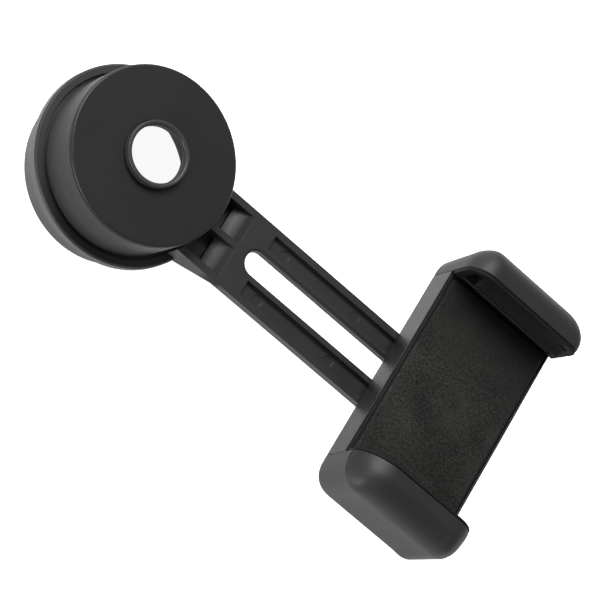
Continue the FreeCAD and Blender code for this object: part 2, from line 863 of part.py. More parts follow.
def build_clamp_housing():
    """The back shell of the clamp: a channel with end walls, nut socket, posts and spring pegs."""
    body = new_body("clamp_housing")
    pad(body, "block", rectangle(body, "block_outline", "XY_Plane", (-clamp_half, -clamp_reach),
                                 (clamp_half, clamp_reach)), housing_height)
    ease(body, "back_rounds", "Fillet", housing_round,
         straight_edge(Vector(0, 1, 0), lambda p: abs(p.z) < NEAR))
    pocket(body, "plate_seat", rectangle(body, "plate_seat_outline", "XY_Plane",
                                         (-plate_seat_half, -clamp_reach - PAST),
                                         (plate_seat_half, clamp_reach + PAST), housing_height),
           housing_height - plate_back_local)
    pocket(body, "cavity", rectangle(body, "cavity_outline", "XY_Plane",
                                     (-inside_half, -(clamp_reach - end_wall)),
                                     (inside_half, clamp_reach - end_wall), housing_height),
           housing_height - housing_back)
    window = pocket(body, "leg_window",
                    rectangle(body, "leg_window_outline", "XY_Plane",
                              (leg_inner - moving_gap, clamp_reach - end_wall - PAST),
                              (leg_outer + moving_gap, clamp_reach + PAST), housing_height),
                    housing_height - housing_back)
    mirror(body, "leg_windows", window, "YZ_Plane")
    pocket(body, "tongue_notch",
           rectangle(body, "tongue_notch_outline", "XY_Plane", (-tongue_half, -clamp_reach - PAST),
                     (tongue_half, -(clamp_reach - end_wall) + PAST), housing_height),
           housing_height - housing_back)
    pad(body, "plate_posts", circles(body, "plate_post_outlines", plate_posts, post_radius,
                                     housing_back), plate_back_local - housing_back)
    pocket(body, "plate_pilots", circles(body, "plate_pilot_outlines", plate_posts, screw_radius,
                                         plate_back_local), plate_back_local - housing_back)
    pad(body, "nut_boss", circles(body, "nut_boss_outline", [(0.0, stud_local_y)],
                                  nut_round + nut_boss_wall, housing_back), nut_boss_height)
    pocket(body, "nut_socket", polygon(body, "nut_socket_outline", "XY_Plane",
                                       hexagon(nut_round, stud_local_y), housing_height),
           housing_height - housing_back)
    pocket(body, "stud_hole", circles(body, "stud_hole_outline", [(0.0, stud_local_y)],
                                      stud_radius + moving_gap, housing_back))
    pocket(body, "jaw_screw_holes", circles(body, "jaw_screw_hole_outlines", jaw_screw_spots,
                                            screw_radius + seam_gap, housing_back), housing_back)
    pocket(body, "jaw_screw_seats",
           circles(body, "jaw_screw_seat_outlines", jaw_screw_spots, screw_head_radius + seam_gap),
           screw_head_height, reverse=True)
    peg_sketch = new_sketch(body, "spring_peg_outline", "XZ_Plane", clamp_reach - end_wall)
    for index, side in enumerate(SIDES):
        spot = (spring_place * side, spring_level)
        peg_middle = Vector(number(spot[0]), number(spot[1]), 0)
        peg_sketch.addGeometry(Part.Circle(peg_middle, Vector(0, 0, 1),
                                           number(spring_radius - spring_wire)))
        hold_point(peg_sketch, index, 3, *spot)
        hold_radius(peg_sketch, index, spring_radius - spring_wire)
    pad(body, "spring_pegs", peg_sketch, end_wall, reverse=True)
    return at_clamp(body)


def build_front_plate():
    """The plate under the phone pad, with countersunk holes for its screws."""
    body = new_body("front_plate")
    pad(body, "sheet", rectangle(body, "sheet_outline", "XY_Plane", (-plate_half, -clamp_reach),
                                 (plate_half, clamp_reach), plate_back_local), plate_thickness)
    pocket(body, "screw_holes", circles(body, "screw_hole_outlines", plate_posts,
                                        screw_radius + seam_gap, plate_front_local), plate_thickness)
    pocket(body, "screw_seats", circles(body, "screw_seat_outlines", plate_posts,
                                        screw_head_radius + seam_gap, plate_front_local),
           screw_head_height)
    return at_clamp(body)


def build_phone_pad():
    body = new_body("phone_pad")
    half = plate_half - pad_margin
    reach = clamp_reach - pad_inset
    pad(body, "foam", rectangle(body, "foam_outline", "XY_Plane", (-half, -reach), (half, reach),
                                plate_front_local), pad_thickness)
    ease(body, "foam_corners", "Fillet", pad_corner,
         straight_edge(Vector(0, 0, 1), lambda p: True))
    return at_clamp(body)


def jaw_outline(half, depth, corner, height, start):
    """A rectangle from a start line outwards, with its two outer corners rounded."""
    up = Vector(0, 0, 1)
    straight = half - corner

    def at(x, y):
        return Vector(x, y, height)

    left = Part.Circle(at(-straight, depth - corner), up, corner)
    right = Part.Circle(at(straight, depth - corner), up, corner)
    edges = [
        Part.LineSegment(at(-half, start), at(half, start)).toShape(),
        Part.LineSegment(at(half, start), at(half, depth - corner)).toShape(),
        Part.ArcOfCircle(right, 0.0, math.pi / 2).toShape(),
        Part.LineSegment(at(straight, depth), at(-straight, depth)).toShape(),
        Part.ArcOfCircle(left, math.pi / 2, math.pi).toShape(),
        Part.LineSegment(at(-half, depth - corner), at(-half, start)).toShape(),
    ]
    return Part.Wire(edges)


def come_in(height, top, radius):
    """How far a quarter round that ends level at the top has come in at a height."""
    rise = max(height - (top - radius), 0.0)
    return radius - math.sqrt(max(radius ** 2 - rise ** 2, 0.0))


def jaw_form(wall, floor, start):
    """The jaw's outer form moved inwards by a wall, from a floor up to its rounded top."""
    top = number(jaw_height) - wall
    dome_round = number(jaw_dome_round) - wall
    end_round = max(number(jaw_end_round) - wall, number(moving_gap))

    def section(height):
        lean = number(jaw_flare) * height
        half = number(clamp_half) + lean - wall - come_in(height, top, end_round)
        depth = number(jaw_depth) + lean - wall - come_in(height, top, dome_round)
        corner = min(number(jaw_corner) - wall, depth * 0.8)
        return jaw_outline(half, depth, corner, height, start)

    ridge = top - dome_round
    slopes = [math.radians(90.0 * step / 5) for step in range(6)]
    wall_part = Part.makeLoft([section(floor), section(ridge)], True, True)
    dome = Part.makeLoft([section(ridge + dome_round * math.sin(slope)) for slope in slopes], True, False)
    return wall_part.fuse(dome).removeSplitter()


def box(x_low, x_high, y_low, y_high, z_low, z_high):
    """A block between two limits along each axis."""
    low = Vector(number(x_low), number(y_low), number(z_low))
    size = Vector(number(x_high), number(y_high), number(z_high)) - low
    return Part.makeBox(size.x, size.y, size.z, low)


def jaw_shell():
    """The hollow jaw, open towards the phone, counted outwards from its seam."""
    outer = jaw_form(0.0, 0.0, 0.0)
    lowest = [edge for edge in outer.Edges
              if abs(edge.BoundBox.ZMax) < NEAR and edge.CenterOfMass.y > NEAR]
    outer = outer.makeFillet(number(housing_round), lowest)
    inner = jaw_form(number(jaw_wall), number(recess_floor), -PAST)
    below = box(-inside_half, inside_half, -PAST, jaw_pocket, housing_back, recess_floor - jaw_wall)
    return outer.cut(inner).cut(below)


def grip_nose_bar():
    """The bar under the lip that the phone's edge catches on, with a row of teeth along its front."""
    back = number(grip_lining)
    rim = -number(grip_rim)
    tip = -number(grip_nose)
    top = number(grip_nose_top)
    edge = number(grip_nose_edge)
    bottom = number(grip_nose_bottom)
    lip = number(jaw_height - jaw_wall - seam_gap)
    half = number(grip_nose_half)
    front = [
        Vector(-half, rim, lip),
        Vector(-half, (rim * 2 + tip) / 3, top),
        Vector(-half, tip, bottom + edge),
    ]
    hollow = Part.BSplineCurve()
    hollow.interpolate(front)
    low_front = Vector(-half, tip, bottom)
    low_back = Vector(-half, back, bottom)
    high_back = Vector(-half, back, lip)
    outline = Part.Wire([
        hollow.toShape(),
        Part.LineSegment(front[-1], low_front).toShape(),
        Part.LineSegment(low_front, low_back).toShape(),
        Part.LineSegment(low_back, high_back).toShape(),
        Part.LineSegment(high_back, front[0]).toShape(),
    ])
    bar = Part.Face(outline).extrude(Vector(2 * half, 0, 0))
    pitch = number(tooth_pitch)
    depth = number(tooth_depth)
    count = int(2 * half / pitch)
    notches = []
    for index in range(count):
        middle = (index - (count - 1) / 2) * pitch
        notch = [Vector(middle - depth, tip, 0), Vector(middle, tip + depth, 0),
                 Vector(middle + depth, tip, 0)]
        notches.append(Part.Face(Part.makePolygon(notch + notch[:1])).extrude(Vector(0, 0, lip)))
    return bar.cut(Part.makeCompound(notches))


def build_grip(label, side):
    """The rubber lining of a jaw: a rim in front of the shell, a skin inside it and the toothed bar."""
    outside = number(grip_rim_inset)
    against = number(jaw_wall + seam_gap)
    inside = number(jaw_wall + grip_lining)
    floor = number(recess_floor + seam_gap)
    low = number(recess_floor) - PAST
    hollow = jaw_form(inside, low, -PAST * 3)
    rim = jaw_form(outside, floor, -number(grip_rim)).common(
        box(-clamp_width, clamp_width, -grip_rim, -seam_gap, 0.0, jaw_height))
    skin = jaw_form(against, floor, -number(grip_rim)).common(
        box(-clamp_width, clamp_width, -grip_rim, grip_lining_depth, 0.0, jaw_height))
    grip = rim.fuse(skin).cut(hollow).fuse(grip_nose_bar())
    return at_jaw(shape_piece(label, grip.removeSplitter()), side)


def at_jaw(piece, side):
    """Put a piece made for the seam at the upper jaw, or turned round at the lower one."""
    seam = clamp_reach + (seam_gap if side > 0 else 0.0)
    return place(piece, clamp_middle, clamp_shift + seam * side, arm_top, 0.0 if side > 0 else 180.0)


def build_lower_jaw():
    """The fixed jaw, with the tongue that is screwed to the housing's floor."""
    tongue_low = number(housing_back)
    tongue_high = tongue_low + number(leg_thickness)
    shell = jaw_shell()
    tongue = box(-tongue_half + seam_gap, tongue_half - seam_gap, -tongue_length, jaw_depth - jaw_wall,
                 tongue_low, tongue_high)
    solid = shell.fuse(tongue)
    for side in SIDES:
        spot = Vector(number(plate_screw_x) * side, -number(jaw_screw_place), 0)
        solid = solid.cut(Part.makeCylinder(number(screw_radius), tongue_high + PAST, spot))
    return at_jaw(shape_piece("lower_jaw", solid.removeSplitter()), -1)


def build_upper_jaw():
    """The sliding jaw, with two legs that run in the housing and an ear on each for a spring."""
    solid = jaw_shell()
    start = number(jaw_depth - jaw_wall)
    for side in SIDES:
        near, far = sorted((number(leg_inner) * side, number(leg_outer) * side))
        leg = box(near, far, -leg_length, start, leg_low, leg_high)
        ear_end = number(spring_place + spring_radius) * side
        near, far = sorted((number(leg_outer - ear_root) * side, ear_end))
        ear = box(near, far, -ear_place - seam_gap, -ear_place - seam_gap + ear_width, leg_low,
                  spring_level + spring_radius)
        peg = Part.makeCylinder(number(spring_radius - spring_wire - running_gap), number(end_wall),
                                Vector(number(spring_place) * side,
                                       -number(ear_place + seam_gap + end_wall), number(spring_level)),
                                Vector(0, 1, 0))
        solid = solid.fuse(leg).fuse(ear).fuse(peg)
    return at_jaw(shape_piece("upper_jaw", solid.removeSplitter()), 1)


def build_jaw_springs():
    """The two springs that draw the jaw closed, drawn at their length with the jaw closed."""
    start = -number(clamp_reach - end_wall)
    finish = number(ear_inner_face)
    wire = number(spring_wire)
    radius = number(spring_radius) - wire / 2
    length = finish - start - wire
    solids = []
    for side in SIDES:
        helix = Part.makeHelix(length / SPRING_TURNS, length, radius)
        ring = Part.Wire(Part.Circle(Vector(radius, 0, 0), Vector(0, 1, 0), wire / 2).toShape())
        coil = Part.Wire(helix).makePipeShell([ring], True, True)
        coil.rotate(Vector(0, 0, 0), Vector(1, 0, 0), -90)
        coil.translate(Vector(number(spring_place) * side, start + wire / 2, number(spring_level)))
        solids.append(coil)
    return at_clamp(shape_piece("jaw_springs", Part.makeCompound(solids)))


def build_plate_screws():
    return at_clamp(cylinders("plate_screws", plate_posts, [
        (screw_radius, plate_back_local - plate_screw_length, plate_front_local),
        (screw_head_radius, plate_front_local - screw_head_height, plate_front_local),
    ]))


def build_jaw_screws():
    return at_clamp(cylinders("jaw_screws", jaw_screw_spots, [
        (screw_head_radius, 0.0, screw_head_height),
        (screw_radius, 0.0, housing_back + leg_thickness),
    ]))


def build_threaded_nut():
    body = new_body("threaded_nut")
    pad(body, "hexagon", polygon(body, "hexagon_outline", "XY_Plane", hexagon(nut_round)), nut_height)
    pocket(body, "thread_bore", circles(body, "bore_outline", [(0.0, 0.0)],
                                        stud_radius + running_gap, nut_height))
    return place(body, clamp_middle, 0.0, arm_top + housing_back)


washer_back = arm_bottom - washer_thickness
stud_top = arm_top + housing_back + nut_height + stud_stand


def build_knob():
    """The thumb nut: a fluted grip that stands on the table, with a neck under the washer."""
    body = new_body("knob")
    revolve(body, "grip", [
        (0.0, 0.0),
        (knob_radius - knob_chamfer, 0.0),
        (knob_radius, knob_chamfer),
        (knob_radius, knob_grip - knob_chamfer),
        (knob_radius - knob_chamfer, knob_grip),
        (knob_neck + knob_chamfer, knob_grip),
        (knob_neck, knob_grip + knob_chamfer),
        (knob_neck, washer_back),
        (0.0, washer_back),
    ])
    pocket(body, "stud_bore", circles(body, "stud_bore_outline", [(0.0, 0.0)], stud_radius, washer_back),
           washer_back - stud_bottom)
    flute_place = knob_radius + knob_flute * 0.35
    flute = pocket(body, "flute", circles(body, "flute_outline", [(flute_place, 0.0)], knob_flute,
                                          washer_back))
    round_pattern(body, "flutes", flute, KNOB_FLUTES)
    return place(body, clamp_middle)


def build_clamp_stud():
    body = new_body("clamp_stud")
    revolve(body, "rod", [
        (0.0, stud_bottom),
        (stud_radius, stud_bottom),
        (stud_radius, stud_top - stud_chamfer),
        (stud_radius - stud_chamfer, stud_top),
        (0.0, stud_top),
    ])
    return place(body, clamp_middle)


def build_stud_washer():
    body = new_body("stud_washer")
    pad(body, "disc", circles(body, "disc_outline", [(0.0, 0.0)], washer_radius, washer_back),
        washer_thickness)
    pocket(body, "hole", circles(body, "hole_outline", [(0.0, 0.0)], stud_radius + moving_gap,
                                 arm_bottom))
    return place(body, clamp_middle)


pieces = [
    build_front_cover(),
    build_arm_ring(),
    build_cover_screws(),
    build_retaining_ring(),
    build_clamp_ring(),
    build_pivot_pins(),
]
for index in range(CLAWS):
    pieces.append(build_claw(index))
    pieces.append(build_claw_pad(index))
pieces += [
    build_clamp_housing(),
    build_front_plate(),
    build_plate_screws(),
    build_phone_pad(),
    build_threaded_nut(),
    build_jaw_springs(),
    build_lower_jaw(),
    build_jaw_screws(),
    build_grip("lower_grip", -1),
    build_upper_jaw(),
    build_grip("upper_grip", 1),
    build_stud_washer(),
    build_knob(),
    build_clamp_stud(),
]

doc.recompute()
for item in doc.Objects:
    if "Invalid" in item.State or "Error" in item.State:
        raise RuntimeError(item.Label + " did not build")

os.makedirs("parts", exist_ok=True)
for piece in pieces:
    shape = piece.Shape
    if shape.isNull() or not shape.isValid():
        raise RuntimeError(piece.Label + " has no valid shape")
    shape.exportStep(os.path.join("parts", piece.Label + ".step"))
    print(piece.Label, len(shape.Solids), round(shape.Volume, 1))
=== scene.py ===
import json
import math

import bmesh
import bpy
from mathutils import Matrix, Vector


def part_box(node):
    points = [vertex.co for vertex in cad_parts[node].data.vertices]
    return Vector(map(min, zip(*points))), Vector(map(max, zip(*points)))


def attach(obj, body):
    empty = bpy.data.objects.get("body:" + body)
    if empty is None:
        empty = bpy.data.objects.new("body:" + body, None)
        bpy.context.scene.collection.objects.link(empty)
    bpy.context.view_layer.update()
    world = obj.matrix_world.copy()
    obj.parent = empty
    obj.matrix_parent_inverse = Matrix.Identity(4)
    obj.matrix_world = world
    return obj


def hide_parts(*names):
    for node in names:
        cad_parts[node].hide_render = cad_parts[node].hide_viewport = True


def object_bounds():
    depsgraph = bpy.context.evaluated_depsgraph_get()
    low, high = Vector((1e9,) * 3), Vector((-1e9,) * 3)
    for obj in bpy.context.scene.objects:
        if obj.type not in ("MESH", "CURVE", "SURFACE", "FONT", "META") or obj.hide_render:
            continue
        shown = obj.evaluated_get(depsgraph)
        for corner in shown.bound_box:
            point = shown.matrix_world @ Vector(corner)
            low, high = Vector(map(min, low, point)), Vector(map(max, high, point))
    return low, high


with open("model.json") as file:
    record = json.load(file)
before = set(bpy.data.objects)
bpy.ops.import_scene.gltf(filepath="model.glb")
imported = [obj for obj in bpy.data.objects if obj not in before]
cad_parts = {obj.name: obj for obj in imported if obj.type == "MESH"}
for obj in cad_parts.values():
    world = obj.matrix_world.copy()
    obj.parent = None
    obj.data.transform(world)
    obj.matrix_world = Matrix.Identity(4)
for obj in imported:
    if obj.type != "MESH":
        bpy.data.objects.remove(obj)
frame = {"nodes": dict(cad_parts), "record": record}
cad_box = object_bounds()
scene = bpy.context.scene
nodes = frame["nodes"]

# The camera of the photograph, in the part's frame
CAMERA_PLACE = Vector((-0.2367, -0.3930, 0.8134))
CAMERA_RIGHT = Vector((0.71904, 0.47634, 0.50603))
CAMERA_DOWN = Vector((0.61739, -0.77214, -0.15044))
CAMERA_FORWARD = Vector((0.31907, 0.42059, -0.84929))
FOCAL_PIXELS = 3334.92
PICTURE_PIXELS = 600
SENSOR = 36.0

# The lamps: their places, sizes and power in watts, and the point that they face
LAMP_TARGET = Vector((0.05, 0, 0))
KEY_PLACE = Vector((-0.58, -0.84, 0.27))
KEY_SIZE = (0.45, 0.45)
KEY_POWER = 9.0
FAR_PLACE = Vector((-0.45, 0.42, 0.80))
FAR_SIZE = (0.6, 0.6)
FAR_POWER = 17.0

# The floor: its reach, how far it lies below the part, and its own grey and roughness
FLOOR_REACH = 3.0
FLOOR_GAP = 0.0001
FLOOR_GREY = 0.65
FLOOR_ROUGHNESS = 0.9

# How bright the white surroundings are, for what sees them and for what they light
HORIZON_SEEN = 1.0
CEILING_SEEN = 0.35
BACKDROP_LIGHT = 0.3
FLOOR_GLOW = 0.93

# The surfaces: fine grain in tone and relief, and a slow change of tone and gloss over it
FINE_DETAIL = 3.0
SLOW_SIZE = 0.016
SLOW_DETAIL = 4.0
SLOW_SHARE = 0.4
ROUGHNESS_SWING = 0.08
EDGE_SAMPLES = 6
PLASTIC_GRAIN = 0.00035
PLASTIC_RELIEF = 0.000014
COVER_RELIEF = 0.00001
COVER_EDGE = 0.00012
PLASTIC_EDGE = 0.0003
RUBBER_GRAIN = 0.0005
RUBBER_RELIEF = 0.00001
FOAM_GRAIN = 0.0006
FOAM_RELIEF = 0.0001
FOAM_TINT = (1.0, 1.0, 0.88)
STEEL_GRAIN = 0.0011
STEEL_DARKEST = 0.85
STEEL_TINT = (1, 1, 1.02)
WHITE = (1, 1, 1)

# The cup: heights on its wall and at its lip, the painted light that makes the wall's foot, the lip and
# the disc paler, and the dulling under the rim
WALL_FOOT = 0.017
WALL_HALFWAY = 0.023
WALL_FOOT_PAINTED_LIGHT = 0.03
WALL_DULLING = 0.1
DISC_PAINTED_LIGHT = 0.0095
LIP_RISE = 0.0024
LIP_BLEND = 0.0006
LIP_PAINTED_LIGHT = 0.025
COVER_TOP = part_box("front_cover")[1][2] - LIP_RISE

# Where the ring gives way to the arm, and the painted light on its outside
RING_REACH = 0.027
RING_BLEND = 0.004
RING_SIDE_PAINTED_LIGHT = 0.042

# The ramps at the arm's root: their foot, middle and top, the flat beyond them, the painted highlight
# on their middle and the dulling of their tops
RAMP_LOW = 0.0308
RAMP_MIDDLE = 0.0332
RAMP_HIGH = 0.0358
FLAT_FADE = 0.038
FLAT_END = 0.040
RAMP_PAINTED_HIGHLIGHT = 0.06
RAMP_TOP_DULLING = 0.4

# Where the painted shadow of the sliding jaw begins on the foam, where it is darkest, and how dark it
# is there
FOAM_FADE = 0.006
FOAM_END = 0.032
FOAM_PAINTED_SHADOW_LEVEL = 0.002

# Where a painted tone or a dulling starts and where it is full, by how far a face turns upwards: 0
# upright, 1 level
FACING_DISC = (0.0, 0.6)
FACING_WALL = (0.5, 0.2)
FACING_RING_SIDE = (0.6, 0.0)
FACING_RAMP = (0.3, 0.5)
FACING_OFF_LEVEL = (0.985, 0.93)
FACING_JUST_OFF_LEVEL = (0.999, 0.99)

# The Mix node's sockets for a share, two colours and their mixture
MIX_SHARE = 0
MIX_FIRST = 6
MIX_SECOND = 7
MIX_COLOUR = 2

# How finely the softened pieces are divided, and how much they are smoothed
JAW_VOXEL = 0.00028
GRIP_VOXEL = 0.00022
CLAW_PAD_VOXEL = 0.0002
SMOOTHING = 0.5
SMOOTH_ROUNDS = 3

# The jaws' lean in the plain solids, and the rounding over their ends and of their corners
JAW_FLARE = 0.065
CAD_END_ROUND = 0.003
CORNER_ROUND = 0.008

# Where the jaws change: how far in from an end, from which share of the height, and past the seam
LEAN_REACH = 0.010
DOME_START = 0.55
SEAM_REACH = 0.004

# The jaws' clearance above the arm
JAW_LIFT = 0.0001

# Each end of the jaws: how far in it begins to round down, and the fullness of its corner
LOWER_LEFT_END = (0.0115, 0.06)
LOWER_RIGHT_END = (0.0065, 0.155)
UPPER_LEFT_END = (0.0075, 0.0)
UPPER_RIGHT_END = (CAD_END_ROUND, 0.0)

# The grips' toothed bar: its right-hand end, which is drawn out to the rim's side
NOSE_END = 0.0152
NOSE_BEFORE = 0.001
NOSE_PAST = 0.0005
NOSE_STRETCH = 0.0006
NOSE_GROWTH = 0.0031
NOSE_LOW = 0.0170
NOSE_HIGH = 0.0213
NOSE_RIM = -0.0012
NOSE_BACK = 0.001

# The foam pad's rounded rim and corners
PAD_RIM = 0.0005
PAD_CORNER = 0.0012
PAD_LEAST_CORNER = 0.3
PAD_STEPS = 4


def add_camera():
    data = bpy.data.cameras.new("camera")
    data.sensor_width = SENSOR
    data.lens = FOCAL_PIXELS / PICTURE_PIXELS * SENSOR
    camera = bpy.data.objects.new("camera", data)
    scene.collection.objects.link(camera)
    turn = Matrix((CAMERA_RIGHT, -CAMERA_DOWN, -CAMERA_FORWARD)).transposed().to_4x4()
    camera.matrix_world = Matrix.Translation(CAMERA_PLACE) @ turn
    scene.camera = camera


def add_area(name, place, size, power):
    data = bpy.data.lights.new(name, "AREA")
    data.shape = "RECTANGLE"
    data.size, data.size_y = size
    data.energy = power
    lamp = bpy.data.objects.new(name, data)
    scene.collection.objects.link(lamp)
    lamp.location = place
    lamp.rotation_euler = (LAMP_TARGET - place).to_track_quat("-Z", "Y").to_euler()


def feed(tree, value, socket):
    """Gives a socket a number, or links it to another node's output."""
    if isinstance(value, (int, float)):
        socket.default_value = value
    else:
        tree.links.new(value, socket)


def calculated(tree, operation, *values):
    """The result of one calculation with numbers or other nodes' outputs."""
    node = tree.nodes.new("ShaderNodeMath")
    node.operation = operation
    for value, socket in zip(values, node.inputs):
        feed(tree, value, socket)
    return node.outputs[0]


def both(tree, first, second):
    """The product of two shares."""
    return calculated(tree, "MULTIPLY", first, second)


def mapped(tree, value, start, finish, low=0.0, high=1.0):
    """The low value at the start, the high one at the finish and a straight change between them."""
    node = tree.nodes.new("ShaderNodeMapRange")
    feed(tree, value, node.inputs["Value"])
    feed(tree, start, node.inputs["From Min"])
    feed(tree, finish, node.inputs["From Max"])
    feed(tree, low, node.inputs["To Min"])
    feed(tree, high, node.inputs["To Max"])
    return node.outputs["Result"]


def split(tree, vector):
    """The X, Y and Z of a vector."""
    node = tree.nodes.new("ShaderNodeSeparateXYZ")
    tree.links.new(vector, node.inputs[0])
    return node.outputs


def part_place(tree):
    """The place of a surface point in the part, split into X, Y and Z."""
    return split(tree, tree.nodes.new("ShaderNodeTexCoord").outputs["Object"])


def upward(tree, facing):
    """A share that changes with how far a surface faces upwards."""
    normal = split(tree, tree.nodes.new("ShaderNodeNewGeometry").outputs["Normal"])
    return mapped(tree, normal["Z"], *facing)


def seen_directly(tree):
    """1 for the rays of the camera and of mirror-like surfaces, 0 for the rays that only light."""
    path = tree.nodes.new("ShaderNodeLightPath").outputs
    reflected = calculated(tree, "MAXIMUM", path["Is Camera Ray"], path["Is Glossy Ray"])
    return calculated(tree, "MAXIMUM", reflected, path["Is Transmission Ray"])


def new_material(name):
    material = bpy.data.materials.new(name)
    material.use_nodes = True
    return material


def shading_of(material):
    """A material's node tree and its main shader."""
    tree = material.node_tree
    return tree, tree.nodes["Principled BSDF"]


def add_floor():
    """A white floor that keeps the part's shadow."""
    mesh = bpy.data.meshes.new("floor")
    corners = [(-FLOOR_REACH, -FLOOR_REACH, 0), (FLOOR_REACH, -FLOOR_REACH, 0),
               (FLOOR_REACH, FLOOR_REACH, 0), (-FLOOR_REACH, FLOOR_REACH, 0)]
    mesh.from_pydata(corners, [], [(0, 1, 2, 3)])
    floor = bpy.data.objects.new("floor", mesh)
    scene.collection.objects.link(floor)
    floor.location.z = cad_box[0][2] - FLOOR_GAP
    material = new_material("floor_white")
    tree, shader = shading_of(material)
    shader.inputs["Base Color"].default_value = (FLOOR_GREY, FLOOR_GREY, FLOOR_GREY, 1)
    shader.inputs["Roughness"].default_value = FLOOR_ROUGHNESS
    shader.inputs["Emission Color"].default_value = (*WHITE, 1)
    feed(tree, both(tree, seen_directly(tree), FLOOR_GLOW), shader.inputs["Emission Strength"])
    mesh.materials.append(material)


def add_room():
    """A white room, greyer overhead, which lights less than it shows."""
    world = bpy.data.worlds.new("room")
    scene.world = world
    world.use_nodes = True
    tree = world.node_tree
    background = tree.nodes["Background"]
    background.inputs["Color"].default_value = (*WHITE, 1)
    direction = split(tree, tree.nodes.new("ShaderNodeTexCoord").outputs["Generated"])
    shown = mapped(tree, direction["Z"], 0.0, 1.0, HORIZON_SEEN, CEILING_SEEN)
    strength = mapped(tree, seen_directly(tree), 0.0, 1.0, BACKDROP_LIGHT, shown)
    feed(tree, strength, background.inputs["Strength"])


def noise_field(tree, coordinates, size, detail):
    field = tree.nodes.new("ShaderNodeTexNoise")
    field.inputs["Scale"].default_value = 1.0 / size
    field.inputs["Detail"].default_value = detail
    tree.links.new(coordinates.outputs["Object"], field.inputs["Vector"])
    return field.outputs["Fac"]


def weighted(tree, first, second, share):
    """The first field and a share of the second one."""
    return calculated(tree, "MULTIPLY_ADD", second, share, both(tree, first, 1.0 - share))


def tone_ramp(tree, field, low, high, tint, spread=0.2):
    """A tinted grey that goes from low to high with a field."""
    ramp = tree.nodes.new("ShaderNodeValToRGB")
    ends = ramp.color_ramp.elements
    ends[0].position = 0.5 - spread
    ends[1].position = 0.5 + spread
    ends[0].color = [low * part for part in tint] + [1]
    ends[1].color = [high * part for part in tint] + [1]
    tree.links.new(field, ramp.inputs["Fac"])
    return ramp.outputs["Color"]


def add_roughness(tree, shader, field, roughness):
    """A roughness that wanders a little with a field."""
    rough = mapped(tree, field, 0.0, 1.0, roughness - ROUGHNESS_SWING, roughness + ROUGHNESS_SWING)
    tree.links.new(rough, shader.inputs["Roughness"])


def add_moulded(name, level, roughness, gloss, grain=PLASTIC_GRAIN, relief=PLASTIC_RELIEF, edge=0.0,
                speckle=0.2, spread=0.2, tint=WHITE):
    """A moulded surface: fine grain in its tone and relief, a slow change of tone, softened edges."""
    material = new_material(name)
    tree, shader = shading_of(material)
    coordinates = tree.nodes.new("ShaderNodeTexCoord")
    fine = noise_field(tree, coordinates, grain, FINE_DETAIL)
    slow = noise_field(tree, coordinates, SLOW_SIZE, SLOW_DETAIL)
    mixed = weighted(tree, fine, slow, SLOW_SHARE)
    tone = tone_ramp(tree, mixed, level * (1 - speckle), level * (1 + speckle), tint, spread)
    tree.links.new(tone, shader.inputs["Base Color"])
    bump = tree.nodes.new("ShaderNodeBump")
    bump.inputs["Strength"].default_value = 1.0
    bump.inputs["Distance"].default_value = relief
    tree.links.new(fine, bump.inputs["Height"])
    if edge:
        bevel = tree.nodes.new("ShaderNodeBevel")
        bevel.samples = EDGE_SAMPLES
        bevel.inputs["Radius"].default_value = edge
        tree.links.new(bevel.outputs["Normal"], bump.inputs["Normal"])
    tree.links.new(bump.outputs["Normal"], shader.inputs["Normal"])
    add_roughness(tree, shader, slow, roughness)
    shader.inputs["Specular IOR Level"].default_value = gloss
    return material


def add_steel(name, level, roughness):
    material = new_material(name)
    tree, shader = shading_of(material)
    shader.inputs["Metallic"].default_value = 1.0
    coordinates = tree.nodes.new("ShaderNodeTexCoord")
    field = noise_field(tree, coordinates, STEEL_GRAIN, FINE_DETAIL)
    tone = tone_ramp(tree, field, level * STEEL_DARKEST, level, STEEL_TINT)
    tree.links.new(tone, shader.inputs["Base Color"])
    add_roughness(tree, shader, field, roughness)
    return material


def source_of(socket):
    """The output that a socket is linked to."""
    return socket.links[0].from_socket


def toned(tree, shader, share, level):
    """Takes a surface's colour over to a grey level where the share rises to 1, which here paints light
    or shade.
    """
    mix = tree.nodes.new("ShaderNodeMix")
    mix.data_type = "RGBA"
    tree.links.new(share, mix.inputs[MIX_SHARE])
    tree.links.new(source_of(shader.inputs["Base Color"]), mix.inputs[MIX_FIRST])
    mix.inputs[MIX_SECOND].default_value = (level, level, level, 1)
    tree.links.new(mix.outputs[MIX_COLOUR], shader.inputs["Base Color"])


def dulled(tree, shader, share, amount):
    """Adds to a surface's roughness where the share rises to 1."""
    rough = calculated(tree, "MULTIPLY_ADD", share, amount, source_of(shader.inputs["Roughness"]))
    tree.links.new(rough, shader.inputs["Roughness"])


def shade_cover(material):
    """The cup's cover: painted light makes the wall's foot, the hole's lip and the upward disc paler
    than the rest of the wall, which is dull under the rim.
    """
    tree, shader = shading_of(material)
    height = part_place(tree)["Z"]
    # Painted light: the wall is paler towards its foot.
    toned(tree, shader, mapped(tree, height, WALL_HALFWAY, WALL_FOOT), WALL_FOOT_PAINTED_LIGHT)
    # Painted light: the disc, facing up, is paler than the wall.
    toned(tree, shader, upward(tree, FACING_DISC), DISC_PAINTED_LIGHT)
    # Painted light: the hole's lip is paler.
    toned(tree, shader, mapped(tree, height, COVER_TOP, COVER_TOP + LIP_BLEND), LIP_PAINTED_LIGHT)
    under_rim = both(tree, mapped(tree, height, WALL_FOOT, COVER_TOP), upward(tree, FACING_WALL))
    dulled(tree, shader, under_rim, WALL_DULLING)


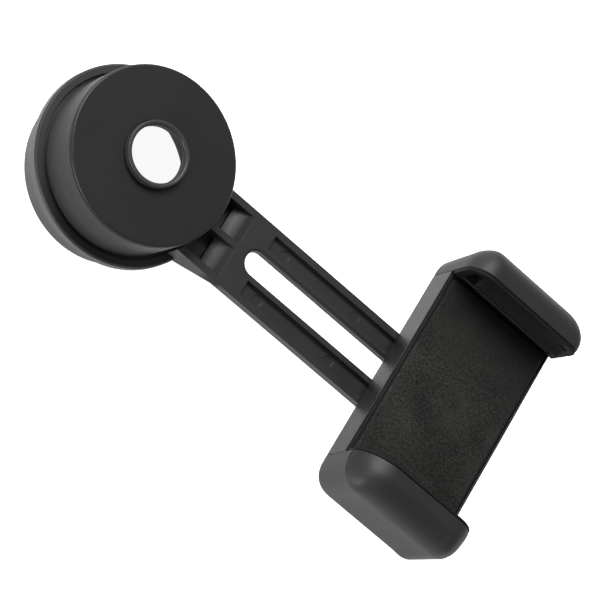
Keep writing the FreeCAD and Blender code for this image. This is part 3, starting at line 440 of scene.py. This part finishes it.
def shade_arm(material):
    """The ring's outside is paler with painted light and the middle of the ramps with a painted
    highlight, and the ramps' tops are dull.
    """
    tree, shader = shading_of(material)
    along = part_place(tree)["X"]
    ring = mapped(tree, along, RING_REACH, RING_REACH - RING_BLEND)
    # Painted light: the ring's sideways outside is paler.
    toned(tree, shader, both(tree, ring, upward(tree, FACING_RING_SIDE)), RING_SIDE_PAINTED_LIGHT)
    rise = mapped(tree, along, RAMP_LOW, RAMP_MIDDLE)
    fade = mapped(tree, along, RAMP_HIGH, RAMP_MIDDLE)
    slope = both(tree, upward(tree, FACING_OFF_LEVEL), upward(tree, FACING_RAMP))
    # Painted highlight: a paler band across the middle of the ramps.
    toned(tree, shader, both(tree, both(tree, rise, fade), slope), RAMP_PAINTED_HIGHLIGHT)
    top = mapped(tree, along, RAMP_MIDDLE, RAMP_HIGH)
    before_flat = mapped(tree, along, FLAT_END, FLAT_FADE)
    top_slope = both(tree, both(tree, top, before_flat), upward(tree, FACING_JUST_OFF_LEVEL))
    dulled(tree, shader, top_slope, RAMP_TOP_DULLING)


def shade_foam(material):
    """A painted shadow of the sliding jaw makes the foam darker towards it."""
    tree, shader = shading_of(material)
    # Painted shadow: the foam darkens towards the sliding jaw.
    toned(tree, shader, mapped(tree, part_place(tree)["Y"], FOAM_FADE, FOAM_END), FOAM_PAINTED_SHADOW_LEVEL)


def coat(thing, material):
    """Gives an object one material."""
    thing.data.materials.clear()
    thing.data.materials.append(material)


def body_with(node):
    """The body that carries a node."""
    for body, members in frame["record"]["behaviour"]["bodies"].items():
        if node in members:
            return body
    raise KeyError(node)


def finish_piece(piece, node, material):
    """Puts a piece of the scene on the body of the node that it stands for."""
    coat(piece, material)
    piece.data.polygons.foreach_set("use_smooth", [True] * len(piece.data.polygons))
    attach(piece, body_with(node))
    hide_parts(node)


def add_piece(name, mesh):
    piece = bpy.data.objects.new(name, mesh)
    scene.collection.objects.link(piece)
    return piece


def softened(node, voxel):
    """A new mesh with the form of a node, evenly divided and with its edges rounded."""
    source = add_piece(node + "_form", nodes[node].data.copy())
    remesh = source.modifiers.new("remesh", "REMESH")
    remesh.mode = "VOXEL"
    remesh.voxel_size = voxel
    smooth = source.modifiers.new("smooth", "SMOOTH")
    smooth.factor = SMOOTHING
    smooth.iterations = SMOOTH_ROUNDS
    shape = bpy.data.meshes.new_from_object(source.evaluated_get(bpy.context.evaluated_depsgraph_get()))
    bpy.data.objects.remove(source)
    return shape


def add_claw_pad(node):
    """A claw's rubber lining with rounded edges, made from the form of its plain solid."""
    piece = add_piece(node + "_rubber", softened(node, CLAW_PAD_VOXEL))
    finish_piece(piece, node, RUBBER)


def ramp(value, start, finish):
    """0 before the start, 1 past the finish and a smooth rise between them."""
    share = min(max((value - start) / (finish - start), 0.0), 1.0)
    return share * share * (3 - 2 * share)


def quarter_drop(distance, radius):
    """How far a quarter round has fallen at a distance into it."""
    inside = min(max(distance, 0.0), radius)
    return radius - math.sqrt(radius * radius - inside * inside)


def is_nose_end(along, outwards, rise):
    """Whether a point of a grip is on the right-hand end of its toothed bar."""
    if not NOSE_END - NOSE_BEFORE < along < NOSE_END + NOSE_PAST or outwards > NOSE_BACK:
        return False
    return rise > NOSE_LOW and (outwards < NOSE_RIM or rise < NOSE_HIGH)


def end_shaped(point, jaw):
    """Where a point of a jaw goes so that the jaw's ends are upright and roundly domed."""
    along = point.x - jaw["middle"]
    outwards = (point.y - jaw["seam"]) * jaw["side"]
    rise = point.z - jaw["bottom"]
    if outwards < -SEAM_REACH or rise < 0:
        return point
    if is_nose_end(along, outwards, rise):
        along += NOSE_GROWTH * ramp(along, NOSE_END - NOSE_STRETCH, NOSE_END)
    left = along < 0
    end_round, fullness = (jaw["left"] if left else jaw["right"])
    lean = JAW_FLARE * rise if left else 0.0
    along += lean * ramp(-along, jaw["half"] - LEAN_REACH, jaw["half"])
    end = jaw["half"] + JAW_FLARE * rise - lean
    past_x = abs(along) - (end - CORNER_ROUND)
    past_y = outwards - (jaw["depth"] + JAW_FLARE * rise - CORNER_ROUND)
    if past_x > 0 and past_y > 0:
        diagonal = math.sin(2 * math.atan2(past_y, past_x)) ** 2
        along += math.copysign(past_x * fullness * diagonal, along)
        outwards += past_y * fullness * diagonal
    into = abs(along) - (end - end_round)
    fall = quarter_drop(into, end_round)
    fall -= quarter_drop(into - end_round + CAD_END_ROUND, CAD_END_ROUND)
    share = ramp(rise, jaw["height"] * DOME_START, jaw["height"])
    return Vector((jaw["middle"] + along, jaw["seam"] + outwards * jaw["side"],
                   point.z - max(fall, 0) * share))


def held_within(point, low, high):
    """The point, or the nearest one in the jaw's own box, just clear of the arm below it."""
    floor = Vector((low[0], low[1], low[2] + JAW_LIFT))
    return Vector([min(max(value, least), most) for value, least, most in zip(point, floor, high)])


def add_jaw(node, grip, side, left, right):
    """A jaw's shell and its rubber lining, each end with its own rounding and fullness of corner."""
    low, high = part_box(node)
    height = high[2] - low[2]
    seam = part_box("clamp_housing")[1 if side > 0 else 0][1]
    depth = max((low[1] - seam) * side, (high[1] - seam) * side)
    jaw = {
        "side": side,
        "left": left,
        "right": right,
        "middle": (low[0] + high[0]) / 2,
        "bottom": low[2],
        "height": height,
        "half": (high[0] - low[0]) / 2 - JAW_FLARE * (height - CAD_END_ROUND),
        "seam": seam,
        "depth": depth - JAW_FLARE * (height - CORNER_ROUND),
    }
    for name, voxel, material, slot in ((node, JAW_VOXEL, SHELL, "moulded_black"),
                                        (grip, GRIP_VOXEL, RUBBER, "soft_rubber")):
        shape = softened(name, voxel)
        for vertex in shape.vertices:
            vertex.co = held_within(end_shaped(vertex.co, jaw), low, high)
        finish_piece(add_piece(name + "_dressed", shape), name, material)


def pad_outline(low, high, inset, height):
    """The points round the foam pad at a height, set in from its sides, with rounded corners."""
    middle = Vector(((low[0] + high[0]) / 2, (low[1] + high[1]) / 2, 0))
    half_x = (high[0] - low[0]) / 2
    half_y = (high[1] - low[1]) / 2
    corner = max(PAD_CORNER - inset, PAD_CORNER * PAD_LEAST_CORNER)
    points = []
    for quarter, (sign_x, sign_y) in enumerate(((1, 1), (-1, 1), (-1, -1), (1, -1))):
        for step in range(PAD_STEPS + 1):
            angle = math.radians(90 * (quarter + step / PAD_STEPS))
            x = sign_x * (half_x - inset - corner) + corner * math.cos(angle)
            y = sign_y * (half_y - inset - corner) + corner * math.sin(angle)
            points.append(middle + Vector((x, y, height)))
    return points


def add_foam_pad():
    """The foam sheet under the phone, with a rounded rim and rounded corners."""
    low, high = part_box("phone_pad")
    top = high[2] - PAD_RIM
    outlines = [pad_outline(low, high, 0, low[2]), pad_outline(low, high, 0, top)]
    for step in range(1, PAD_STEPS + 1):
        angle = math.radians(90 * step / PAD_STEPS)
        inset = PAD_RIM * (1 - math.cos(angle))
        outlines.append(pad_outline(low, high, inset, top + PAD_RIM * math.sin(angle)))
    shape = bmesh.new()
    rows = [[shape.verts.new(point) for point in outline] for outline in outlines]
    for below, above in zip(rows, rows[1:]):
        for index in range(len(below)):
            after = (index + 1) % len(below)
            shape.faces.new((below[index], below[after], above[after], above[index]))
    shape.faces.new(rows[0][::-1])
    shape.faces.new(rows[-1])
    bmesh.ops.recalc_face_normals(shape, faces=shape.faces)
    mesh = bpy.data.meshes.new("foam_pad")
    shape.to_mesh(mesh)
    shape.free()
    piece = add_piece("foam_pad", mesh)
    finish_piece(piece, "phone_pad", FOAM)


scene.view_settings.view_transform = "Standard"
add_camera()
add_floor()
add_room()
add_area("key", KEY_PLACE, KEY_SIZE, KEY_POWER)
add_area("far_side", FAR_PLACE, FAR_SIZE, FAR_POWER)

COVER = add_moulded("moulded_cover", level=0.002, roughness=0.38, gloss=0.22,
                    relief=COVER_RELIEF, edge=COVER_EDGE)
PLASTIC = add_moulded("moulded_black", level=0.005, roughness=0.42, gloss=0.3, edge=PLASTIC_EDGE)
SHELL = add_moulded("moulded_shell", level=0.006, roughness=0.54, gloss=0.34)
ARM = add_moulded("moulded_arm", level=0.006, roughness=0.5, gloss=0.4, edge=PLASTIC_EDGE)
RUBBER = add_moulded("soft_rubber", level=0.007, roughness=0.6, gloss=0.07,
                     grain=RUBBER_GRAIN, relief=RUBBER_RELIEF)
FOAM = add_moulded("foam", level=0.011, roughness=0.85, gloss=0.2, grain=FOAM_GRAIN,
                   relief=FOAM_RELIEF, speckle=0.95, spread=0.11, tint=FOAM_TINT)
STEEL = add_steel("steel", level=0.55, roughness=0.3)
shade_cover(COVER)
shade_arm(ARM)
shade_foam(FOAM)

for dressed, finish in (
        (("front_cover",), COVER),
        (("arm_ring", "clamp_ring"), ARM),
        (("claw_1", "claw_2", "claw_3", "clamp_housing", "front_plate", "knob"), PLASTIC),
        (("cover_screws", "retaining_ring", "claw_pivot_pins", "plate_screws", "threaded_nut",
          "jaw_springs", "jaw_screws", "stud_washer", "clamp_stud"), STEEL)):
    for dressed_node in dressed:
        coat(nodes[dressed_node], finish)

add_foam_pad()
add_jaw("lower_jaw", "lower_grip", -1, LOWER_LEFT_END, LOWER_RIGHT_END)
add_jaw("upper_jaw", "upper_grip", 1, UPPER_LEFT_END, UPPER_RIGHT_END)
for claw_pad in ("claw_pad_1", "claw_pad_2", "claw_pad_3"):
    add_claw_pad(claw_pad)
